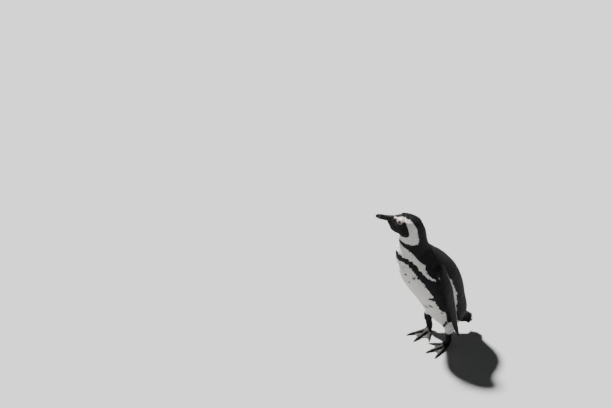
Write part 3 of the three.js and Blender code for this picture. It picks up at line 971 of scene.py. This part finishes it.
# %% Lay the gland skin on both sides
skin_tree = BVHTree.FromPolygons([v.co for v in skin.data.vertices],
                                 [list(p.vertices) for p in skin.data.polygons])
outline = np.array(BARE_GLAND) / 1000
GLAND_MIDDLE = (0.0195, 0.0065)
GLAND_SPAN = (0.030, 0.026)
BESIDE_HEAD = 0.06
BORDER_DIP = 0.0005
SWELLING = 0.0013
PEBBLE = 0.00028
TUCKED_UNDER = 0.0016


def from_outline(ahead, up):
    """Distance from the gland's outline, positive inside."""
    nearest = np.full(np.shape(ahead), 1.0)
    for a, b in zip(outline, np.roll(outline, -1, 0)):
        edge = b - a
        t = ((ahead - a[0]) * edge[0] + (up - a[1]) * edge[1]) / (edge @ edge)
        foot = a[:, None] + edge[:, None] * np.clip(t, 0, 1)
        nearest = np.minimum(nearest, np.hypot(ahead - foot[0], up - foot[1]))
    within = inside([tuple(p) for p in outline], ahead, up)
    return np.where(within, nearest, -nearest)


glands = []
for word, sign in SIDES:
    select_nothing()
    bpy.ops.mesh.primitive_grid_add(x_subdivisions=64, y_subdivisions=56, size=1)
    gland = named(f"gland_{word}")
    sheet = places_of(gland.data)
    ahead = GLAND_MIDDLE[0] + GLAND_SPAN[0] * sheet[:, 0]
    up = GLAND_MIDDLE[1] + GLAND_SPAN[1] * sheet[:, 1]
    depth_in = from_outline(ahead, up)
    inward = head_turn @ Vector((-sign, 0, 0))
    rise = SWELLING * step(-0.0014, 0.0022, depth_in) - BORDER_DIP
    pebbles = np.sin(ahead * 4200 + 9 * np.sin(up * 900)) * np.sin(up * 3900)
    rise += PEBBLE * pebbles * step(0, 0.002, depth_in)
    for number in range(len(sheet)):
        start = from_head(sign * BESIDE_HEAD, ahead[number], up[number])
        hit, normal, _, _ = skin_tree.ray_cast(start, inward)
        if hit is not None:
            sheet[number] = hit + normal * float(rise[number])
    move_to(gland.data, sheet)
    look = np.array(looks[word])
    from_eye = sheet - np.array(eye_spots[word])
    off_axis = from_eye - np.outer(from_eye @ look, look)
    on_eye = np.linalg.norm(off_axis, axis=1) < EYE_OPENING
    pick_flagged(gland, (depth_in < -TUCKED_UNDER) | on_eye)
    bpy.ops.mesh.delete(type="VERT")
    bpy.ops.mesh.select_all(action="SELECT")
    bpy.ops.mesh.normals_make_consistent(inside=False)
    mode("OBJECT")
    if gland.data.polygons[0].normal.dot(inward) > 0:
        mode("EDIT")
        bpy.ops.mesh.flip_normals()
        mode("OBJECT")
    bpy.ops.object.shade_smooth()
    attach(gland, "root")
    glands.append(gland)
    print(gland.name, len(gland.data.polygons), "faces")

# %% [markdown]
# ## Feet and claws
# The feet are bare below the trousers: black leathery skin over three long toes, with webs
# between them. Along the top of each toe the skin is broken into cross scutes, one behind the
# other, while the rest is covered in small round scales. The scutes are real relief, raised in
# waves along the distance from the ankle, and the scales are left to the material.

# %% Feet with scutes
SCUTE = 0.0026
SHANK_RING = 0.0032
SCALE_RELIEF = 0.00035
SKIN_THICK = 0.0004
WEB_TOP = 0.0032

feet = []
for word, _ in SIDES:
    foot = smooth_copy(f"foot_skin_{word}", f"foot_{word}", 0.0011, 4)
    points = places_of(foot.data)
    facing = normals_of(foot.data)
    upward = facing[:, 2]
    height = points[:, 2]
    low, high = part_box(f"foot_{word}")
    shank = points[height > 0.035].mean(0)
    reach = np.hypot(points[:, 0] - shank[0], points[:, 1] - shank[1])
    on_toes = step(0.3, 0.8, upward) * step(0.004, 0.006, height)
    scutes = on_toes * np.abs(np.sin(reach * math.pi / SCUTE)) * step(0.012, 0.02, reach)
    rings = step(0.020, 0.026, height) * np.abs(np.sin(height * math.pi / SHANK_RING))
    points += facing * (SCALE_RELIEF * (scutes + rings) + SKIN_THICK)[:, None]
    points[:, 2] = np.maximum(points[:, 2], 0)
    move_to(foot.data, points)
    keep_on_points(foot.data, "web", (points[:, 2] < WEB_TOP) * step(0.5, 0.9, upward))
    feet.append(foot)
    print(foot.name, len(foot.data.polygons), "faces over", [round(v, 3) for v in high - low])

# %% Claws rounded from the measured ones
claws = []
for node in sorted(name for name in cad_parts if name.startswith("claw")):
    claw = copy_solids(f"horn_{node}", node)
    finish_with(claw, "SUBSURF", levels=2, render_levels=2)
    bpy.ops.object.shade_smooth()
    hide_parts(node)
    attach(claw, "root")
    claws.append(claw)
print("claws:", len(claws))

# %% [markdown]
# ## The tail's quills
# The short tail is a wedge of stiff, narrow quills that the bird leans on. They are too long and
# too few for the coat's little vane, so they get a pattern of their own: a grid, narrowed to a
# point, raised along its shaft and given a wall. Three layers start under the rump's feathers,
# two above and one below, and end close together. The outer quills are shorter.

# %% One quill, then the fan
QUILLS = 9
QUILL_WIDE = 0.0085
QUILL_RIDGE = 0.10
# How wide a quill is along its length, as shares.
QUILL_SHAPE = [(0, 0.5), (0.15, 0.9), (0.6, 1), (0.85, 0.8), (0.96, 0.42), (1, 0.1)]
# Each layer's root and tip: how far behind the ruler's zero, and height.
TAIL_LAYERS = [((0.076, 0.100), (0.1225, 0.064)), ((0.078, 0.096), (0.1195, 0.061)),
               ((0.078, 0.081), (0.117, 0.0610))]
FAN_ANGLE = 15
FAN_HALF = 0.021
SHORTER_OUTSIDE = 0.22

select_nothing()
bpy.ops.mesh.primitive_grid_add(x_subdivisions=4, y_subdivisions=12, size=1,
                                location=(0, 0.5, 0))
quill = named("quill")
bpy.ops.object.transform_apply(location=True)
blade = places_of(quill.data)
taper = np.interp(blade[:, 1], *zip(*QUILL_SHAPE))
keep_on_points(quill.data, "along", blade[:, 1])
keep_on_points(quill.data, "across", blade[:, 0])
blade[:, 2] = QUILL_RIDGE * (0.5 - np.abs(blade[:, 0])) * taper
blade[:, 0] *= taper
move_to(quill.data, blade)
quills = []
for layer, ((root_back, root_high), (tip_back, tip_high)) in enumerate(TAIL_LAYERS):
    middle = Vector((0, tip_back - root_back, tip_high - root_high))
    fan_up = Vector((1, 0, 0)).cross(middle).normalized()
    for number in range(-QUILLS, QUILLS + 1):
        share = (number + 0.5 * (layer % 2)) / (QUILLS + 0.5)
        long = middle.length * (1 - SHORTER_OUTSIDE * abs(share)) * dice.uniform(0.96, 1.03)
        turn = math.radians(FAN_ANGLE * share)
        along_quill = middle.normalized() * math.cos(turn) + Vector((math.sin(turn), 0, 0))
        along_quill = (along_quill - fan_up * 0.12 * share ** 2).normalized()
        across_quill = along_quill.cross(fan_up).normalized()
        top = across_quill.cross(along_quill)
        root = Vector((FAN_HALF * share, ahead_zero + root_back, root_high))
        root -= fan_up * 0.010 * share ** 2
        copied = link_new("quill", quill.data.copy())
        keep_on_points(copied.data, "chance", np.full(len(blade), dice.random()))
        axes = Matrix((across_quill * QUILL_WIDE, along_quill * long, top * QUILL_WIDE))
        copied.data.transform(Matrix.Translation(root) @ axes.transposed().to_4x4())
        quills.append(copied)
bpy.data.objects.remove(quill)
work_on(*quills)
bpy.ops.object.join()
tail_fan = named("tail_quills")
finish_with(tail_fan, "SOLIDIFY", thickness=0.0007, offset=0)
bpy.ops.object.shade_smooth()
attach(tail_fan, "root")
print("quills:", len(quills), "with", len(tail_fan.data.polygons), "faces")

# %% [markdown]
# ## The finish of feathers
# Black penguin feathers are not plain black: fresh ones have slate-blue ends, worn ones go
# brown, and no two next to each other are the same. White ones are creamy, some more than
# others. Each feather carries its own whiteness and a random number, and the material mixes from
# them.
# Fine barbs run slantwise from the shaft: they are a wave along the vane, used as a bump.

# %% Helpers for materials
def new_finish(name, rough, sheen=0.0, shine=0.5):
    """A material, its node tree and its shader."""
    made = bpy.data.materials.new(name)
    made.use_nodes = True
    shader = made.node_tree.nodes["Principled BSDF"]
    shader.inputs["Roughness"].default_value = rough
    shader.inputs["Sheen Weight"].default_value = sheen
    shader.inputs["Specular IOR Level"].default_value = shine
    return made, made.node_tree, shader


def add_node(tree, kind, inputs=(), **settings):
    """Adds a node, sets its fields, and links or fills its inputs."""
    made = tree.nodes.new(kind)
    for setting, value in settings.items():
        setattr(made, setting, value)
    for socket, value in dict(inputs).items():
        if isinstance(value, bpy.types.NodeSocket):
            tree.links.new(value, made.inputs[socket])
        else:
            made.inputs[socket].default_value = value
    return made


def read_points(tree, name):
    """The number that the mesh keeps under this name."""
    return add_node(tree, "ShaderNodeAttribute", attribute_name=name).outputs["Fac"]


def own_place(tree):
    """The object's own coordinates, in metres."""
    return add_node(tree, "ShaderNodeTexCoord").outputs["Object"]


def sums(tree, operation, *values):
    """A Math node."""
    return add_node(tree, "ShaderNodeMath", dict(enumerate(values)), operation=operation).outputs[0]


def ramp(tree, value, *stops):
    """Colours along a value: each stop is a place and a colour."""
    made = add_node(tree, "ShaderNodeValToRGB", {"Fac": value})
    for element, (place, colour) in zip(made.color_ramp.elements, (stops[0], stops[-1])):
        element.position = place
        element.color = (*colour, 1)
    for place, colour in stops[1:-1]:
        made.color_ramp.elements.new(place).color = (*colour, 1)
    return made.outputs["Color"]


def mix(tree, share, one, other):
    """A colour between two colours."""
    ends = {socket: colour if isinstance(colour, bpy.types.NodeSocket) else (*colour, 1)
            for socket, colour in ((6, one), (7, other))}
    return add_node(tree, "ShaderNodeMix", {0: share, **ends}, data_type="RGBA").outputs[2]


def noise(tree, scale, detail, where=None):
    """Noise on the object's own coordinates."""
    settings = {"Vector": where or own_place(tree), "Scale": scale, "Detail": detail}
    return add_node(tree, "ShaderNodeTexNoise", settings).outputs["Fac"]


def pebbles_at(tree, scale):
    """Distance from the middle of the nearest scale or pebble."""
    settings = {"Vector": own_place(tree), "Scale": scale}
    return add_node(tree, "ShaderNodeTexVoronoi", settings).outputs["Distance"]


def wear(made, tree, shader, colour, rough, height, depth):
    """Links colour, roughness and bump to the shader."""
    tree.links.new(colour, shader.inputs["Base Color"])
    tree.links.new(rough, shader.inputs["Roughness"])
    bump = add_node(tree, "ShaderNodeBump", {"Height": height, "Distance": depth})
    tree.links.new(bump.outputs["Normal"], shader.inputs["Normal"])
    return made


def dress(things, finish):
    """Gives one material to each of these objects."""
    for thing in things:
        thing.data.materials.append(finish)


# %% Feather finish
def feather_finish(name, black, blue, brown, rough):
    """Plumage: black to white by the kept number, with a tone for each feather."""
    made, tree, shader = new_finish(name, rough, shine=0.12)
    chance = read_points(tree, "chance")
    along = read_points(tree, "along")
    across = sums(tree, "ABSOLUTE", read_points(tree, "across"))
    dark = ramp(tree, chance, (0.0, black), (0.45, blue), (0.8, black), (1.0, brown))
    tipped = ramp(tree, along, (0.0, (0.5, 0.5, 0.5)), (0.75, (1, 1, 1)), (1.0, (1.5, 1.5, 1.55)))
    dark = add_node(tree, "ShaderNodeVectorMath", {0: dark, 1: tipped},
                    operation="MULTIPLY").outputs[0]
    pale = ramp(tree, chance, (0.0, (0.70, 0.685, 0.65)), (1.0, (0.80, 0.79, 0.765)))
    soiled = sums(tree, "MULTIPLY", noise(tree, 22.0, 3.0), 0.28)
    pale = mix(tree, soiled, pale, (0.60, 0.585, 0.545))
    colour = mix(tree, read_points(tree, "white"), dark, pale)
    slant = sums(tree, "MULTIPLY_ADD", across, -0.8, along)
    barbs = sums(tree, "SINE", sums(tree, "MULTIPLY", slant, 95.0))
    dull = sums(tree, "MULTIPLY_ADD", chance, 0.18, rough)
    return wear(made, tree, shader, colour, dull, barbs, 0.00006)


def under_finish():
    """Skin with the grey down that shows between feathers, in the coat's own markings."""
    made, tree, shader = new_finish("skin_finish", 0.8, sheen=0.1)
    fine = noise(tree, 900.0, 4.0)
    black = mix(tree, fine, (0.014, 0.014, 0.015), (0.028, 0.027, 0.027))
    pale = mix(tree, fine, (0.42, 0.40, 0.38), (0.60, 0.58, 0.55))
    colour = mix(tree, read_points(tree, "white"), black, pale)
    rough = sums(tree, "MULTIPLY_ADD", fine, 0.25, 0.7)
    return wear(made, tree, shader, colour, rough, fine, 0.0004)


plumage = feather_finish("plumage_finish", (0.008, 0.008, 0.009), (0.012, 0.013, 0.016),
                         (0.018, 0.015, 0.013), 0.55)
scales = feather_finish("flipper_finish", (0.010, 0.010, 0.011), (0.016, 0.017, 0.020),
                        (0.024, 0.021, 0.018), 0.5)
for coat in coats:
    dress([coat], scales if "flipper" in coat.name else plumage)
keep_on_points(tail_fan.data, "white", np.zeros(len(tail_fan.data.vertices)))
dress([tail_fan], plumage)
dress([skin], under_finish())
print("materials:", len(bpy.data.materials))

# %% [markdown]
# ## The finish of horn, eyes, bare skin and feet
# None of these is one flat colour. The bill is black horn with fine growth lines and a pale grey
# band behind its hook. The eye is rings of colour under a wet coat. Gland skin is pinkish grey
# and pebbly. Foot skin is black with paler mottling, and its small scales are a Voronoi bump.

# %% Horn of the bill and claws
BILL_BAND = 0.0845


def bill_finish():
    """Black horn with fine growth lines and a pale band near the tip."""
    made, tree, shader = new_finish("bill_finish", 0.5, shine=0.16)
    uneven = sums(tree, "SUBTRACT", noise(tree, 260.0, 3.0), 0.5)
    place = sums(tree, "MULTIPLY_ADD", uneven, 0.005, read_points(tree, "ahead"))
    from_band = sums(tree, "ABSOLUTE", sums(tree, "SUBTRACT", place, BILL_BAND))
    band = add_node(tree, "ShaderNodeMapRange",
                    {"Value": from_band, "From Min": 0.0016, "From Max": 0.0036, "To Min": 1.0,
                     "To Max": 0.0}, interpolation_type="SMOOTHSTEP").outputs[0]
    stretched = add_node(tree, "ShaderNodeMapping",
                         {"Vector": own_place(tree), "Rotation": (0, 0, -HEAD_TURN),
                          "Scale": (1.0, 0.25, 1.0)}).outputs["Vector"]
    lines = noise(tree, 1500.0, 4.0, stretched)
    dark = mix(tree, lines, (0.004, 0.0039, 0.0037), (0.015, 0.014, 0.013))
    colour = mix(tree, sums(tree, "MULTIPLY", band, 0.5), dark, (0.13, 0.125, 0.117))
    # Painted shade: the bill goes nearly black in its grooves and nostril, and more so the deeper
    # the dent.
    groove_shade = add_node(tree, "ShaderNodeMath", {0: read_points(tree, "press"), 1: 0.7},
                    operation="MULTIPLY", use_clamp=True).outputs[0]
    colour = mix(tree, groove_shade, colour, (0.006, 0.006, 0.006))
    rough = sums(tree, "MULTIPLY_ADD", lines, 0.25, 0.42)
    return wear(made, tree, shader, colour, rough, lines, 0.00014)


def claw_finish():
    """Brown-black horn, unevenly worn."""
    made, tree, shader = new_finish("claw_finish", 0.45, shine=0.22)
    worn = noise(tree, 700.0, 4.0)
    colour = mix(tree, worn, (0.008, 0.007, 0.006), (0.032, 0.026, 0.021))
    rough = sums(tree, "MULTIPLY_ADD", worn, 0.3, 0.4)
    return wear(made, tree, shader, colour, rough, worn, 0.0002)


dress(bill_halves, bill_finish())
dress(claws, claw_finish())
print("horn on", len(bill_halves), "bill halves and", len(claws), "claws")

# %% Eyes, lids and gland
def eye_finish():
    """Pupil, brown iris and dark rim as rings, under a wet coat."""
    made, tree, shader = new_finish("eye_finish", 0.15, shine=0.35)
    shader.inputs["Coat Weight"].default_value = 0.5
    shader.inputs["Coat Roughness"].default_value = 0.04
    streaks = sums(tree, "SUBTRACT", noise(tree, 2200.0, 3.0), 0.5)
    ring = sums(tree, "MULTIPLY_ADD", streaks, 0.10, read_points(tree, "ring"))
    colour = ramp(tree, ring, (0.0, (0.002, 0.002, 0.002)), (0.36, (0.002, 0.002, 0.002)),
                  (0.42, (0.012, 0.006, 0.004)), (0.62, (0.024, 0.013, 0.008)),
                  (0.74, (0.006, 0.004, 0.004)), (1.0, (0.006, 0.005, 0.005)))
    tree.links.new(colour, shader.inputs["Base Color"])
    return made


def bare_finish(name, dark, pale, scale):
    """Bare, pebbly skin."""
    made, tree, shader = new_finish(name, 0.55, shine=0.4)
    shader.inputs["Subsurface Weight"].default_value = 0.08
    shader.inputs["Subsurface Radius"].default_value = (0.002, 0.001, 0.0006)
    pebble_crease = pebbles_at(tree, scale)
    tint = noise(tree, 240.0, 4.0)
    colour = mix(tree, tint, dark, pale)
    # Painted shade: the skin goes darker towards the creases between pebbles.
    colour = mix(tree, sums(tree, "MULTIPLY", pebble_crease, 0.5), colour, dark)
    rough = sums(tree, "MULTIPLY_ADD", tint, 0.3, 0.42)
    bump = sums(tree, "SUBTRACT", 1.0, pebble_crease)
    return wear(made, tree, shader, colour, rough, bump, 0.0003)


dress(eyes, eye_finish())
dress(lids, bare_finish("lid_finish", (0.03, 0.024, 0.023), (0.12, 0.09, 0.086), 2200.0))
dress(glands, bare_finish("gland_finish", (0.13, 0.083, 0.08), (0.29, 0.20, 0.19), 1500.0))
print("eye colours sit inside", EYE_RADIUS, "m")

# %% Feet
def foot_finish():
    """Black foot skin with small scales and paler mottling on the webs."""
    made, tree, shader = new_finish("foot_finish", 0.65, shine=0.12)
    dusty = noise(tree, 130.0, 5.0)
    dark = mix(tree, dusty, (0.003, 0.0029, 0.0028), (0.011, 0.0101, 0.0094))
    mottle = ramp(tree, noise(tree, 90.0, 3.0), (0.50, (0, 0, 0)), (0.60, (1, 1, 1)))
    on_web = sums(tree, "MULTIPLY", add_node(tree, "ShaderNodeRGBToBW", {0: mottle}).outputs[0],
                  sums(tree, "MULTIPLY", read_points(tree, "web"), 0.35))
    colour = mix(tree, on_web, dark, (0.12, 0.10, 0.093))
    rough = sums(tree, "MULTIPLY_ADD", dusty, 0.3, 0.5)
    bump = sums(tree, "SUBTRACT", 1.0, pebbles_at(tree, 620.0))
    return wear(made, tree, shader, colour, rough, bump, 0.0005)


dress(feet, foot_finish())
print("finishes:", [made.name for made in bpy.data.materials])

# %% [markdown]
# ## Room and light
# The floor is plain and pale. The main light comes from off the bird's right shoulder, high up,
# and throws a soft shadow past its left foot. It is a sun lamp with a wide disc, because that
# lights the whole floor evenly, right out to where it ends. A weak square lamp fills the side
# towards the camera, and a pale sky keeps the blacks from closing up.

# %% Floor, lamps and sky
FLOOR_GREY = (0.2, 0.2, 0.197, 1)
SUN_DISC = math.radians(5)
FILL_SIZE = 2.0
SKY = {"Color": (0.93, 0.95, 1.0, 1), "Strength": 0.17}
BIRD_MIDDLE = Vector((0, 0, 0.25))

select_nothing()
bpy.ops.mesh.primitive_plane_add(size=60, location=(0, 0, 0))
floor = named("floor")
paper = bpy.data.materials.new("floor_paper")
paper.use_nodes = True
paper_shader = paper.node_tree.nodes["Principled BSDF"]
paper_shader.inputs["Base Color"].default_value = FLOOR_GREY
paper_shader.inputs["Roughness"].default_value = 0.9
floor.data.materials.append(paper)


def hang_lamp(name, kind, direction, away, strength):
    """A lamp that looks at the bird's middle."""
    bpy.ops.object.light_add(type=kind, location=direction * away + BIRD_MIDDLE)
    lamp = named(name)
    look_from(lamp, direction)
    lamp.data.energy = strength
    return lamp.data


hang_lamp("key_lamp", "SUN", towards(298, 56.2), 3.2, 26).angle = SUN_DISC
hang_lamp("fill_lamp", "AREA", towards(30, 25), 3.5, 1.5).size = FILL_SIZE
sky = bpy.data.worlds.new("studio")
bpy.context.scene.world = sky
sky.use_nodes = True
for socket, value in SKY.items():
    sky.node_tree.nodes["Background"].inputs[socket].default_value = value
print("lamps:", [lamp.name for lamp in bpy.data.lights])
